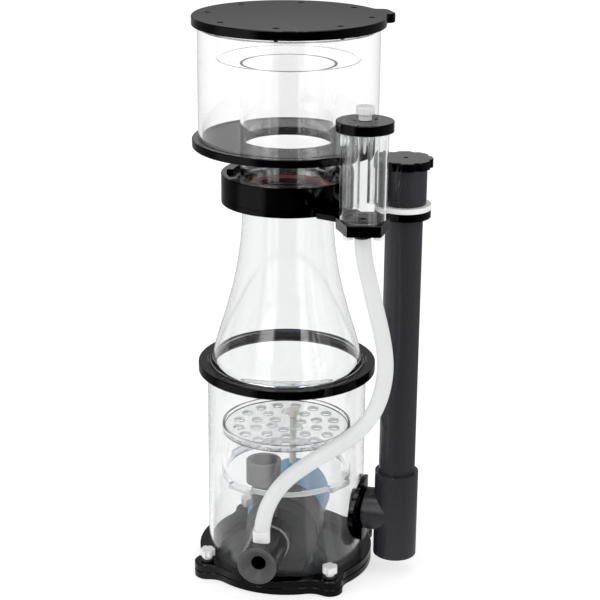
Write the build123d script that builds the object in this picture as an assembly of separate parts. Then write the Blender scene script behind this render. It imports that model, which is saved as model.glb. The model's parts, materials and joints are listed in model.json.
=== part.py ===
"""In-sump protein skimmer, about 620 mm tall.

Frame: millimetres, +Z up, origin on the body tube's axis at the underside of the base plate.
The pump intake faces -Y and the outlet pipe stands at +X. Each piece is written to parts/NODE.step.
"""
import os
from math import cos, pi, radians, sin, sqrt, tan

from build123d import *

# ---------------------------------------------------------------- driving dimensions
# Base: two lobed plates with a gasket between them
BASE_R = 98.0
LOBE_R = 14.5
LOBE_CIRCLE_R = 100.0
LOBE_ANGLES = (-150.5, -60.5, 29.5, 119.5)
LOBE_BLEND_R = 24.0
BASE_TOP = 8.0
GASKET_TOP = 9.0
FLANGE_TOP = 17.3
FLANGE_BORE_R = 78.0

# Body tube, join ring and cone
TUBE_R = 87.5
TUBE_WALL = 4.0
TUBE_SEAT = 15.3
TUBE_TOP = 234.0
JOIN_R = 97.5
JOIN_BOTTOM = 230.0
JOIN_TOP = 240.6
CONE_FOOT_R = 88.5
CONE_FOOT = 237.0
CONE_NECK_R = 49.0
CONE_WALL = 3.0
CONE_SLOPE = (-0.26, 0, 1)
CONE_SIDE = [
    (81.4, 250.0), (75.9, 270.0), (67.1, 299.0), (58.6, 331.0), (52.5, 365.0), (49.5, 396.0),
    (CONE_NECK_R, 422.0),
]

# Neck collar with its bayonet, and the bracket layer beneath it
COLLAR_R = 71.4
BRACKET_BOTTOM = 422.0
BRACKET_TOP = 428.0
COLLAR_TOP = 453.4
SEAL_BORE_R = 54.8
ROOF_BORE_R = 59.5
CHANNEL_R = 65.6
CHANNEL_BOTTOM = 437.5
CHANNEL_TOP = 446.3
LUG_ANGLES = (187.0, 307.0, 67.0)
LUG_WIDTH = 26.0
SLOT_WIDTH = 30.0

# Collection cup
NECK_R = 51.2
NECK_WALL = 3.2
NECK_BOTTOM = 428.3
NECK_TOP = 570.9
CUP_PLATE_R = 101.9
CUP_PLATE_BOTTOM = 482.6
CUP_PLATE_TOP = 491.4
CUP_R = 95.4
CUP_WALL = 4.0
LID_R = 101.5
LID_BOTTOM = 610.6
LID_TOP = 620.4
LID_TAB_ANGLE = 16.0
LID_SCREW_R = 86.0
LID_SCREW_PHASE = -8.0
SPLASH_R = 76.0
SPLASH_BOTTOM = 576.0

# Air silencer
SILENCER_X = 76.6
SILENCER_Y = -110.3
SILENCER_BASE_TOP = 433.9
SILENCER_TUBE_R = 24.3
SILENCER_CAP_R = 29.2
SILENCER_CAP_BOTTOM = 524.4
SILENCER_CAP_TOP = 534.8
HOSE_R = 8.6
BARB_BOTTOM = 414.0

# Outlet: 40 mm PVC pipe in a tee
OUTLET_ANGLE = -14.4
OUTLET_DISTANCE = 127.0
OUTLET_Z = 71.4
SADDLE_R = 36.8
TEE_R = 24.0
TEE_BOTTOM = 21.3
TEE_TOP = 121.5
PIPE_R = 20.0
PIPE_BORE_R = 18.1
SOCKET_R = 20.1
SOCKET_DEPTH = 26.0
STANDPIPE_TOP = 440.0
PIPE_RING_R = 28.0
PIPE_RING_BOTTOM = 415.0
PIPE_RING_TOP = 423.6
WASHER_TOP = 429.1
SLEEVE_R = 23.0
KNOB_R = 28.8
KNOB_BOTTOM = 469.0
KNOB_TOP = 478.0
WEDGE_R = 17.4
WEDGE_WALL = 2.0
WEDGE_BOTTOM = 52.0

# Pump
PUMP_ANGLE = -102.1
PUMP_Z = 56.4
NOZZLE_R = 21.3
NOZZLE_FRONT = 141.0
NOZZLE_ROOT = 62.5
NOZZLE_BORE_R = 8.0
NOZZLE_MOUTH_R = 17.4
HOSE_END_S = 120.0
VOLUTE_R = 40.0
VOLUTE_SHIFT = 7.5
VOLUTE_RISE = 3.6
VOLUTE_BACK = 18.0
VOLUTE_FRONT = 56.0
CHAMBER_R = 26.0
MOTOR_R = 40.5
MOTOR_BACK = -60.0
BOSS_TOP = 107.5
FEET_TOP = 11.0
OUTLET_PIPE_X = -15.9
OUTLET_PIPE_S = 41.2
OUTLET_STUB_R = 14.0
OUTLET_STUB_TOP = 100.4
OUTLET_BORE_R = 9.5
DIFFUSER_R = 18.7
DIFFUSER_BOTTOM = 110.6
DIFFUSER_TOP = 136.3
ROTOR_BORE_R = 12.5
ROTOR_WELL = -50.0
STATOR_INNER_R = 15.0
STATOR_OUTER_R = 36.5
STATOR_BACK = -54.0
STATOR_FRONT = 14.0
SHAFT_R = 2.5

# Bubble plate and its skirt
PLATE_R = 72.0
PLATE_BOTTOM = 160.0
PLATE_TOP = 164.0
PLATE_HOLE_R = 6.3
SKIRT_BOTTOM = 107.0
SKIRT_RING_TOP = 113.0
POST_X = 7.5
POST_Y = 20.0
POST_R = 3.0
ROD_BOTTOM = 98.0

# Thumb screws
SCREW_HOLE_R = 3.0
SCREW_SHANK_R = 2.9

# Centre line of the air hose, from the silencer's barb down to the cuff on the nozzle
HOSE_ROUTE = [
    (76.6, -110.3, 414.0),
    (77.6, -110.4, 396.0),
    (82.2, -110.8, 376.0),
    (89.5, -111.6, 346.0),
    (98.7, -112.6, 310.5),
    (103.6, -113.4, 278.5),
    (101.2, -114.0, 251.5),
    (94.2, -114.4, 228.5),
    (83.2, -114.7, 210.5),
    (66.4, -114.9, 194.5),
    (45.0, -115.1, 179.7),
    (23.3, -115.4, 165.6),
    (4.5, -115.8, 150.8),
    (-8.7, -116.2, 135.7),
    (-17.9, -116.7, 119.0),
    (-23.4, -117.1, 101.0),
    (-25.2, -117.3, 84.0),
]

# ---------------------------------------------------------------- helpers
UPRIGHT = (Align.CENTER, Align.CENTER, Align.MIN)


def polar(radius, angle):
    """Point at an angle (degrees) on a circle about the body axis."""
    return radius * cos(radians(angle)), radius * sin(radians(angle))


def disc(radius, bottom, top, x=0.0, y=0.0):
    """Upright solid cylinder."""
    return Pos(x, y, bottom) * Cylinder(radius, top - bottom, align=UPRIGHT)


def ring(outer, inner, bottom, top, x=0.0, y=0.0):
    """Upright tube."""
    return disc(outer, bottom, top, x, y) - disc(inner, bottom - 1, top + 1, x, y)


def revolved(points):
    """Solid of revolution about Z from (radius, height) corners."""
    outline = Polyline(*[(r, 0, z) for r, z in points], close=True)
    return revolve(make_face(outline), Axis.Z)


def side_frame(angle, height):
    """Frame on the body axis whose local z points outwards at an angle, local y up and local x sideways."""
    out_x, out_y = polar(1.0, angle)
    return Plane(origin=(0, 0, height), x_dir=(-out_y, out_x, 0), z_dir=(out_x, out_y, 0))


def scalloped(radius, count, notch_r, bottom, top, phase=0.0):
    """Knob disc whose rim has evenly spaced rounded notches."""
    sketch = Circle(radius)
    for i in range(count):
        x, y = polar(radius + notch_r * 0.45, phase + 360.0 * i / count)
        sketch -= Pos(x, y) * Circle(notch_r)
    sketch = fillet(sketch.vertices(), notch_r * 0.45)
    return Pos(0, 0, bottom) * extrude(sketch, top - bottom)


PUMP = side_frame(PUMP_ANGLE, PUMP_Z)
OUTLET = side_frame(OUTLET_ANGLE, OUTLET_Z)
OUTLET_X, OUTLET_Y = polar(OUTLET_DISTANCE, OUTLET_ANGLE)


def along(frame, outer, start, end, x=0.0, y=0.0, inner=0.0):
    """Cylinder or tube along a side frame's outward direction, x to the side and y up from its origin."""
    shape = Pos(x, y, start) * Cylinder(outer, end - start, align=UPRIGHT)
    if inner:
        shape -= Pos(x, y, start - 1) * Cylinder(inner, end - start + 2, align=UPRIGHT)
    return frame.location * shape


# ---------------------------------------------------------------- base
def base_outline():
    sketch = Circle(BASE_R)
    for angle in LOBE_ANGLES:
        x, y = polar(LOBE_CIRCLE_R, angle)
        sketch += Pos(x, y) * Circle(LOBE_R)
    return fillet(sketch.vertices(), LOBE_BLEND_R)


def lobe_holes(radius, bottom, top):
    holes = Part()
    for angle in LOBE_ANGLES:
        x, y = polar(LOBE_CIRCLE_R, angle)
        holes += disc(radius, bottom, top, x, y)
    return holes


def base_plate():
    plate = extrude(base_outline(), BASE_TOP)
    plate = chamfer(plate.edges().group_by(Axis.Z)[0], 0.8)
    plate = chamfer(plate.edges().group_by(Axis.Z)[-1], 0.5)
    return plate - lobe_holes(SCREW_HOLE_R, 2.0, BASE_TOP + 1)


def base_gasket():
    sheet = Pos(0, 0, BASE_TOP) * extrude(offset(base_outline(), -1.0), GASKET_TOP - BASE_TOP)
    sheet -= disc(FLANGE_BORE_R, BASE_TOP - 1, GASKET_TOP + 1)
    return sheet - lobe_holes(SCREW_HOLE_R + 0.4, BASE_TOP - 1, GASKET_TOP + 1)


def body_flange():
    plate = Pos(0, 0, GASKET_TOP) * extrude(base_outline(), FLANGE_TOP - GASKET_TOP)
    plate = chamfer(plate.edges().group_by(Axis.Z)[-1], 0.6)
    plate = chamfer(plate.edges().group_by(Axis.Z)[0], 0.5)
    plate -= disc(FLANGE_BORE_R, GASKET_TOP - 1, FLANGE_TOP + 1)
    plate -= disc(TUBE_R, TUBE_SEAT, FLANGE_TOP + 1)
    return plate - lobe_holes(SCREW_HOLE_R + 0.4, GASKET_TOP - 1, FLANGE_TOP + 1)


def thumb_screw_washers():
    rings = Part()
    for angle in LOBE_ANGLES:
        x, y = polar(LOBE_CIRCLE_R, angle)
        rings += ring(7.0, SCREW_HOLE_R + 0.4, FLANGE_TOP, FLANGE_TOP + 2.2, x, y)
    return rings


def thumb_screw(angle):
    neck_bottom = FLANGE_TOP + 2.5
    head_bottom = neck_bottom + 4.0
    screw = disc(SCREW_SHANK_R, 3.0, neck_bottom)
    screw += disc(5.0, neck_bottom, head_bottom)
    head = scalloped(8.5, 6, 2.6, head_bottom, head_bottom + 7.5)
    screw += chamfer(head.edges().group_by(Axis.Z)[-1], 0.7)
    x, y = polar(LOBE_CIRCLE_R, angle)
    return Pos(x, y, 0) * Rot(0, 0, angle) * screw


# ---------------------------------------------------------------- body tube, join ring, cone
def cable_hole_frame():
    return side_frame(95.0, 34.0)


def body_tube():
    tube = ring(TUBE_R, TUBE_R - TUBE_WALL, TUBE_SEAT, TUBE_TOP)
    tube -= along(PUMP, NOZZLE_R + 0.8, 60, 100)
    tube -= along(OUTLET, PIPE_R, 60, 100)
    return tube - along(cable_hole_frame(), 6.0, 60, 100)


def join_ring():
    inner = TUBE_R - TUBE_WALL
    points = [
        (TUBE_R, JOIN_BOTTOM), (JOIN_R - 0.8, JOIN_BOTTOM), (JOIN_R, JOIN_BOTTOM + 0.8),
        (JOIN_R, JOIN_TOP - 0.8), (JOIN_R - 0.8, JOIN_TOP), (CONE_FOOT_R, JOIN_TOP),
        (CONE_FOOT_R, CONE_FOOT), (inner - 1, CONE_FOOT), (inner - 1, TUBE_TOP), (TUBE_R, TUBE_TOP),
    ]
    return revolved(points)


def cone_line(inset):
    """Side of the cone from the top of its flared foot up to the straight neck."""
    points = [(r - inset, 0, z) for r, z in CONE_SIDE]
    return Spline(*points, tangents=[CONE_SLOPE, (0, 0, 1)])


def cone():
    """Blown cone: a foot that curls out into the join ring's seat, a curved side and a straight neck."""
    outer = cone_line(0.0)
    inner = cone_line(CONE_WALL)
    foot_edge = (CONE_FOOT_R, 0, JOIN_TOP)
    foot_heel = (CONE_FOOT_R - 8.0, 0, CONE_FOOT)
    flare = Spline(foot_edge, (83.2, 0, 244.4), outer @ 0, tangents=[(-1, 0, 0.2), CONE_SLOPE])
    heel = Spline(foot_heel, inner @ 0, tangents=[(0, 0, 1), CONE_SLOPE])
    foot = Polyline(foot_edge, (CONE_FOOT_R, 0, CONE_FOOT), foot_heel)
    top = BRACKET_TOP
    neck = Polyline(outer @ 1, (CONE_NECK_R, 0, top), (CONE_NECK_R - CONE_WALL, 0, top), inner @ 1)
    return revolve(make_face([flare, outer, neck, inner, heel, foot]), Axis.Z)


# ---------------------------------------------------------------- neck collar and silencer
def silencer_outline():
    """Six-sided outline, longer from front to back."""
    corners = [(-17, -28), (17, -28), (27.4, 5), (17, 28), (-17, 28), (-27.4, 5)]
    return Pos(SILENCER_X, SILENCER_Y) * make_face(Polyline(*corners, close=True))


def silencer_screw_places():
    return [(SILENCER_X + side * 15.3, SILENCER_Y - 18.5) for side in (-1, 1)]


def collar_bracket():
    corners = [
        (30, -60), (30, -70.5), (48, -81.5), (SILENCER_X - 17, -100),
        (SILENCER_X + 17, -100), (70, -50),
    ]
    arm = make_face(Polyline(*corners, close=True))
    layer = Circle(COLLAR_R) + arm + silencer_outline()
    layer -= Circle(CONE_NECK_R)
    bracket = Pos(0, 0, BRACKET_BOTTOM) * extrude(layer, BRACKET_TOP - BRACKET_BOTTOM)
    for x, y in silencer_screw_places():
        bracket -= disc(2.5, BRACKET_BOTTOM - 1, BRACKET_TOP + 1, x, y)
    return bracket - disc(6.0, BRACKET_BOTTOM - 1, BRACKET_TOP + 1, SILENCER_X, SILENCER_Y)


def sector(outer, start, end, bottom, top):
    """Pie slice about the body axis."""
    steps = 6
    rim = [polar(outer * 1.1, start + (end - start) * i / steps) for i in range(steps + 1)]
    wedge = make_face(Polyline((0, 0), *rim, close=True)) & Circle(outer)
    return Pos(0, 0, bottom) * extrude(wedge, top - bottom)


def neck_collar():
    points = [
        (SEAL_BORE_R, BRACKET_TOP), (COLLAR_R - 0.4, BRACKET_TOP), (COLLAR_R, BRACKET_TOP + 0.4),
        (COLLAR_R, COLLAR_TOP - 0.6), (COLLAR_R - 0.6, COLLAR_TOP), (ROOF_BORE_R, COLLAR_TOP),
        (ROOF_BORE_R, CHANNEL_TOP), (CHANNEL_R, CHANNEL_TOP), (CHANNEL_R, CHANNEL_BOTTOM),
        (SEAL_BORE_R, CHANNEL_BOTTOM),
    ]
    collar = revolved(points)
    for angle in LUG_ANGLES:
        start = angle - SLOT_WIDTH / 2
        collar -= sector(CHANNEL_R, start, start + SLOT_WIDTH, CHANNEL_TOP - 1, COLLAR_TOP + 1)
    return collar


def silencer_base():
    block = Pos(0, 0, BRACKET_TOP) * extrude(silencer_outline(), SILENCER_BASE_TOP - BRACKET_TOP)
    block = chamfer(block.edges().group_by(Axis.Z)[-1], 0.6)
    for x, y in silencer_screw_places():
        block -= disc(2.5, BRACKET_TOP - 1, BRACKET_TOP + 4, x, y)
    return block - disc(6.0, BRACKET_TOP - 1, SILENCER_BASE_TOP + 1, SILENCER_X, SILENCER_Y)


def silencer_screws():
    screws = Part()
    for x, y in silencer_screw_places():
        screws += disc(2.5, BRACKET_BOTTOM - 1, BRACKET_TOP + 4, x, y)
        head = disc(5.2, BRACKET_BOTTOM - 5, BRACKET_BOTTOM, x, y)
        screws += chamfer(head.edges().group_by(Axis.Z)[0], 1.0)
    return screws


def silencer_barb():
    """Hollow barb under the silencer, with a spigot up through the bracket into the base."""
    barb = disc(HOSE_R - 0.4, BARB_BOTTOM, BRACKET_BOTTOM, SILENCER_X, SILENCER_Y)
    barb += disc(6.0, BRACKET_BOTTOM - 1, SILENCER_BASE_TOP, SILENCER_X, SILENCER_Y)
    return barb - disc(4.0, BARB_BOTTOM - 1, SILENCER_BASE_TOP + 1, SILENCER_X, SILENCER_Y)


def silencer_tube():
    outer = SILENCER_TUBE_R
    return ring(outer, outer - 2.5, SILENCER_BASE_TOP, SILENCER_CAP_BOTTOM, SILENCER_X, SILENCER_Y)


def silencer_cap():
    cap = disc(SILENCER_CAP_R, SILENCER_CAP_BOTTOM, SILENCER_CAP_TOP, SILENCER_X, SILENCER_Y)
    cap = chamfer(cap.edges().group_by(Axis.Z)[-1], 0.6)
    cap -= disc(3.0, SILENCER_CAP_BOTTOM - 1, SILENCER_CAP_TOP + 1, SILENCER_X, SILENCER_Y)
    for side in (-1, 1):
        vent_x = SILENCER_X + side * 10.5
        vent_y = SILENCER_Y + side * 3.5
        cap -= disc(2.2, SILENCER_CAP_BOTTOM - 1, SILENCER_CAP_TOP + 1, vent_x, vent_y)
    return cap


def silencer_wide_tube():
    """Hangs from the cap under one vent and ends above the base."""
    return ring(7.4, 5.9, 446.0, SILENCER_CAP_BOTTOM, SILENCER_X - 11.5, SILENCER_Y - 2.0)


def silencer_narrow_tube():
    """Hangs from the cap under the other vent and ends a little higher."""
    return ring(6.0, 4.4, 450.0, SILENCER_CAP_BOTTOM, SILENCER_X + 9.5, SILENCER_Y + 3.5)


def air_screw():
    """Needle screw through the cap: knob, collar, shank and tapered tip."""
    knob = revolved([
        (0, 500.0), (1.2, 502.0), (2.4, 516.0), (2.9, 520.0), (2.9, 535.2), (6.5, 535.2), (6.5, 540.0),
        (9.3, 541.5), (9.3, 548.2), (8.5, 549.0), (0, 549.0),
    ])
    for i in range(18):
        knob -= Rot(0, 0, i * 20.0) * disc(0.7, 541.0, 550.0, 9.6, 0)
    return Pos(SILENCER_X, SILENCER_Y, 0) * knob


# ---------------------------------------------------------------- collection cup
def neck_o_ring():
    centre_r = NECK_R + 1.75
    return Pos(0, 0, CHANNEL_BOTTOM - 2.4) * Torus(centre_r, 1.7)


def riser_neck():
    return ring(NECK_R, NECK_R - NECK_WALL, NECK_BOTTOM, NECK_TOP)


def neck_lug_ring():
    bottom = CHANNEL_BOTTOM + 0.4
    top = CHANNEL_TOP - 0.6
    lugs = disc(ROOF_BORE_R - 0.8, bottom, top)
    for angle in LUG_ANGLES:
        lugs += sector(CHANNEL_R - 0.8, angle - LUG_WIDTH / 2, angle + LUG_WIDTH / 2, bottom, top)
    return lugs - disc(NECK_R, bottom - 1, top + 1)


def cup_base_plate():
    plate = revolved([
        (NECK_R, CUP_PLATE_BOTTOM), (CUP_PLATE_R - 0.8, CUP_PLATE_BOTTOM),
        (CUP_PLATE_R, CUP_PLATE_BOTTOM + 0.8),
        (CUP_PLATE_R, CUP_PLATE_TOP - 0.8), (CUP_PLATE_R - 0.8, CUP_PLATE_TOP), (NECK_R, CUP_PLATE_TOP),
    ])
    return plate - ring(CUP_R, CUP_R - CUP_WALL, CUP_PLATE_TOP - 2, CUP_PLATE_TOP + 1)


def cup_wall():
    return ring(CUP_R, CUP_R - CUP_WALL, CUP_PLATE_TOP - 2, LID_BOTTOM - 0.3)


def lid_screw_shapes():
    shapes = Part()
    for i in range(8):
        x, y = polar(LID_SCREW_R, LID_SCREW_PHASE + 45.0 * i)
        shapes += disc(2.0, LID_BOTTOM - 3.0, LID_TOP - 2.5, x, y)
        shapes += disc(3.4, LID_TOP - 3.0, LID_TOP - 0.3, x, y)
    return shapes


def on_lid_rim(point):
    """True for the two corners where the thumb tab meets the lid's rim."""
    x, y = polar(LID_R, LID_TAB_ANGLE)
    from_tab = sqrt((point.X - x) ** 2 + (point.Y - y) ** 2)
    return abs(sqrt(point.X**2 + point.Y**2) - LID_R) < 0.01 and 10 < from_tab < 22


def lid():
    tab = fillet(Rectangle(26, 36).vertices(), 9.0)
    outline = Circle(LID_R) + Rot(0, 0, LID_TAB_ANGLE) * (Pos(99.5, 0) * tab)
    plate = Pos(0, 0, LID_BOTTOM) * extrude(outline, LID_TOP - LID_BOTTOM)
    plate = fillet([e for e in plate.edges().filter_by(Axis.Z) if on_lid_rim(e.center())], 6.0)
    plate = chamfer(plate.edges().group_by(Axis.Z)[-1], 0.8)
    plate = chamfer(plate.edges().group_by(Axis.Z)[0], 0.8)
    for i in range(8):
        x, y = polar(LID_SCREW_R, LID_SCREW_PHASE + 45.0 * i)
        plate -= disc(2.0, LID_BOTTOM - 1, LID_TOP, x, y)
        plate -= disc(3.4, LID_TOP - 3.0, LID_TOP + 1, x, y)
    return plate


def lid_splash_ring():
    """Clear tube hanging inside the cup, with a flange screwed up under the lid."""
    flange_r = CUP_R - CUP_WALL - 0.6
    profile = revolved([
        (SPLASH_R - 3, SPLASH_BOTTOM), (SPLASH_R, SPLASH_BOTTOM), (SPLASH_R, LID_BOTTOM - 4),
        (flange_r, LID_BOTTOM - 4), (flange_r, LID_BOTTOM), (SPLASH_R - 3, LID_BOTTOM),
    ])
    for i in range(8):
        x, y = polar(LID_SCREW_R, LID_SCREW_PHASE + 45.0 * i)
        profile -= disc(2.0, LID_BOTTOM - 3.0, LID_BOTTOM + 1, x, y)
    return profile


# ---------------------------------------------------------------- outlet
def tube_shell(inner, outer):
    return ring(outer, inner, 0, 160)


def outlet_gasket():
    plug = along(OUTLET, SADDLE_R - 1, 60, 110, inner=PIPE_R)
    return plug & tube_shell(TUBE_R, TUBE_R + 1.0)


def outlet_saddle():
    plug = along(OUTLET, SADDLE_R, 60, 110, inner=PIPE_R)
    return plug & tube_shell(TUBE_R + 1.0, TUBE_R + 5.5)


def branch_pipe():
    return along(OUTLET, PIPE_R, 76, 109, inner=PIPE_BORE_R)


def outlet_tee():
    tee = disc(TEE_R, TEE_BOTTOM, TEE_TOP, OUTLET_X, OUTLET_Y)
    tee += along(OUTLET, TEE_R - 0.6, TUBE_R + 5.8, OUTLET_DISTANCE)
    tee -= disc(PIPE_BORE_R + 0.3, TEE_BOTTOM - 1, TEE_TOP + 1, OUTLET_X, OUTLET_Y)
    tee -= disc(SOCKET_R, TEE_BOTTOM - 1, TEE_BOTTOM + SOCKET_DEPTH, OUTLET_X, OUTLET_Y)
    tee -= disc(PIPE_R, TEE_TOP - SOCKET_DEPTH, TEE_TOP + 1, OUTLET_X, OUTLET_Y)
    tee -= along(OUTLET, PIPE_BORE_R, 80, OUTLET_DISTANCE)
    return tee - along(OUTLET, PIPE_R, 80, 109)


def standpipe():
    return ring(PIPE_R, PIPE_BORE_R, TEE_TOP - SOCKET_DEPTH, STANDPIPE_TOP, OUTLET_X, OUTLET_Y)


def standpipe_ring():
    return ring(PIPE_RING_R, PIPE_R, PIPE_RING_BOTTOM, PIPE_RING_TOP, OUTLET_X, OUTLET_Y)


def glide_washer():
    return ring(PIPE_RING_R, PIPE_R, PIPE_RING_TOP, WASHER_TOP, OUTLET_X, OUTLET_Y)


def level_sleeve():
    return ring(SLEEVE_R, PIPE_R + 0.4, WASHER_TOP + 0.3, KNOB_BOTTOM, OUTLET_X, OUTLET_Y)


def level_knob():
    knob = scalloped(KNOB_R, 8, 4.6, KNOB_BOTTOM, KNOB_TOP, phase=22.5)
    knob = chamfer(knob.edges().group_by(Axis.Z)[-1], 0.7)
    return Pos(OUTLET_X, OUTLET_Y, 0) * (knob - disc(2.6, KNOB_BOTTOM - 1, KNOB_TOP + 1))


def wedge_pipe():
    """Pipe inside the standpipe: its slanted lower end faces the branch when the outlet is fully open."""
    pipe = ring(WEDGE_R, WEDGE_R - WEDGE_WALL, WEDGE_BOTTOM, KNOB_BOTTOM)
    cutter = Pos(0, 0, WEDGE_BOTTOM + 20) * Rot(0, 49, 0) * Pos(0, 0, -30) * Box(60, 60, 60)
    return Pos(OUTLET_X, OUTLET_Y, 0) * Rot(0, 0, OUTLET_ANGLE) * (pipe - cutter)


# ---------------------------------------------------------------- pump
def venturi_nozzle():
    """Intake nozzle: conical mouth, narrow throat, and a tapped boss on top for the air hose."""
    outline = [
        (NOZZLE_BORE_R, NOZZLE_ROOT), (NOZZLE_R, NOZZLE_ROOT), (NOZZLE_R, NOZZLE_FRONT - 0.8),
        (NOZZLE_R - 0.8, NOZZLE_FRONT), (NOZZLE_MOUTH_R, NOZZLE_FRONT), (NOZZLE_BORE_R, NOZZLE_FRONT - 8),
    ]
    nozzle = PUMP.location * revolved(outline)
    x, y = polar(HOSE_END_S, PUMP_ANGLE)
    return nozzle - disc(3.5, PUMP_Z, PUMP_Z + 30, x, y)


def intake_seal():
    lip = along(PUMP, NOZZLE_R + 1.2, 60, 100, inner=NOZZLE_R) & tube_shell(TUBE_R, TUBE_R + 1.4)
    plug = along(PUMP, NOZZLE_R + 0.8, 60, 100, inner=NOZZLE_R) & tube_shell(TUBE_R - TUBE_WALL, TUBE_R)
    return lip + plug


def hose_cuff():
    """Sleeve that the hose end sits in; its lower face follows the top of the nozzle."""
    x, y = polar(HOSE_END_S, PUMP_ANGLE)
    hose_end = HOSE_ROUTE[-1][2]
    cuff = ring(HOSE_R + 0.7, 3.5, PUMP_Z + 10, hose_end, x, y)
    cuff += ring(HOSE_R + 0.7, HOSE_R, hose_end, hose_end + 6, x, y)
    return cuff - along(PUMP, NOZZLE_R, NOZZLE_ROOT, NOZZLE_FRONT)


def pump_volute():
    """Pump body, off-centre about the impeller, with a recess for the cover and an outlet stub on top."""
    body = along(PUMP, VOLUTE_R, VOLUTE_BACK, VOLUTE_FRONT, VOLUTE_SHIFT, VOLUTE_RISE)
    x, y = volute_outlet_place()
    body += disc(OUTLET_STUB_R, PUMP_Z, OUTLET_STUB_TOP, x, y)
    body -= along(PUMP, CHAMBER_R, 30.0, VOLUTE_FRONT - 4)
    body -= along(PUMP, VOLUTE_R - 4, VOLUTE_FRONT - 4, VOLUTE_FRONT + 1, VOLUTE_SHIFT, VOLUTE_RISE)
    body -= along(PUMP, ROTOR_BORE_R, VOLUTE_BACK - 1, 31.0)
    return body - disc(OUTLET_BORE_R, PUMP_Z, OUTLET_STUB_TOP + 1, x, y)


def volute_outlet_place():
    out_x, out_y = polar(1.0, PUMP_ANGLE)
    x = OUTLET_PIPE_S * out_x - OUTLET_PIPE_X * out_y
    y = OUTLET_PIPE_S * out_y + OUTLET_PIPE_X * out_x
    return x, y


def volute_cover():
    """Stepped front cover that carries the nozzle; its steps run about the volute's own centre."""
    front = VOLUTE_FRONT
    spigot_r = VOLUTE_R - 4.2
    steps = revolved([
        (0, front - 3.8), (spigot_r, front - 3.8), (spigot_r, front), (38.0, front), (38.0, front + 2.0),
        (33.0, front + 2.6), (32.4, front + 4.0), (27.0, front + 4.6), (26.4, front + 6.0), (0, front + 6.0),
    ])
    cover = PUMP.location * Pos(VOLUTE_SHIFT, VOLUTE_RISE, 0) * steps
    cover += along(PUMP, NOZZLE_R, front, NOZZLE_ROOT)
    return cover - along(PUMP, 11.0, front - 5, NOZZLE_ROOT + 1)


def pump_outlet_pipe():
    x, y = volute_outlet_place()
    return ring(OUTLET_STUB_R - 1, OUTLET_BORE_R, OUTLET_STUB_TOP, DIFFUSER_BOTTOM + 4, x, y)


def outlet_diffuser():
    """Open cup with a ribbed outside, pushed on the outlet pipe."""
    x, y = volute_outlet_place()
    sketch = Circle(DIFFUSER_R)
    for i in range(40):
        rib_x, rib_y = polar(DIFFUSER_R + 0.25, 9.0 * i)
        sketch -= Pos(rib_x, rib_y) * Circle(0.75)
    cup = Pos(0, 0, DIFFUSER_BOTTOM) * extrude(sketch, DIFFUSER_TOP - 3 - DIFFUSER_BOTTOM)
    cup += disc(DIFFUSER_R, DIFFUSER_TOP - 3, DIFFUSER_TOP)
    cup -= disc(OUTLET_BORE_R, DIFFUSER_BOTTOM - 1, DIFFUSER_TOP)
    cup -= disc(OUTLET_STUB_R - 1, DIFFUSER_BOTTOM - 1, DIFFUSER_BOTTOM + 4)
    cup -= disc(14.5, DIFFUSER_BOTTOM + 7, DIFFUSER_TOP + 1)
    return Pos(x, y, 0) * cup


def motor_housing():
    """Potted motor shell: rotor well in the middle, stator room around it, boss on top for the post."""
    shell = revolved([
        (0, MOTOR_BACK), (MOTOR_R - 3, MOTOR_BACK), (MOTOR_R - 0.9, MOTOR_BACK + 0.9),
        (MOTOR_R, MOTOR_BACK + 3),
        (MOTOR_R, VOLUTE_BACK), (ROTOR_BORE_R, VOLUTE_BACK), (ROTOR_BORE_R, ROTOR_WELL), (0, ROTOR_WELL),
    ])
    shell -= revolved([
        (STATOR_INNER_R, STATOR_BACK), (STATOR_OUTER_R, STATOR_BACK),
        (STATOR_OUTER_R, STATOR_FRONT), (STATOR_INNER_R, STATOR_FRONT),
    ])
    boss = disc(8.5, PUMP_Z + 38.0, BOSS_TOP, POST_X, POST_Y)
    boss -= disc(POST_R, ROD_BOTTOM, BOSS_TOP + 1, POST_X, POST_Y)
    return PUMP.location * shell + boss


def stator_block():
    """Fills the shell's cavity with 0.3 mm to spare all round."""
    outer = STATOR_OUTER_R - 0.3
    return along(PUMP, outer, STATOR_BACK + 0.3, STATOR_FRONT - 0.3, inner=STATOR_INNER_R + 0.3)


def pump_bushings():
    """One bushing at the bottom of the rotor well, one in the volute's back wall."""
    pair = Part()
    for start in (ROTOR_WELL, 21.0):
        pair += along(PUMP, ROTOR_BORE_R, start, start + 5.0, inner=SHAFT_R + 0.05)
    return pair


def impeller_shaft():
    return along(PUMP, SHAFT_R, ROTOR_WELL + 1, 46.0)


def rotor_magnet():
    return along(PUMP, ROTOR_BORE_R - 1, ROTOR_WELL + 6, 20.0, inner=SHAFT_R)


def needle_wheel():
    wheel = Pos(0, 0, 32) * Cylinder(24, 3, align=UPRIGHT) + Pos(0, 0, 32) * Cylinder(7, 14, align=UPRIGHT)
    for radius, count in ((12.0, 8), (17.0, 12), (22.0, 16)):
        for i in range(count):
            x, y = polar(radius, 360.0 * i / count)
            wheel += Pos(x, y, 34) * Cylinder(1.2, 13, align=UPRIGHT)
    wheel -= Pos(0, 0, 30) * Cylinder(SHAFT_R, 20, align=UPRIGHT)
    return PUMP.location * wheel


def pump_stand():
    """Plate under the pump with two saddles for the motor."""
    stand = Box(60, 3, 116, align=(Align.CENTER, Align.MIN, Align.CENTER))
    for place in (-50.0, -8.0):
        stand += Pos(0, 0, place) * Box(56, 18, 10, align=(Align.CENTER, Align.MIN, Align.CENTER))
    stand = PUMP.location * Pos(0, FEET_TOP - PUMP_Z, 0) * stand
    return stand - along(PUMP, MOTOR_R + 0.1, MOTOR_BACK - 10, VOLUTE_BACK)


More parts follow.
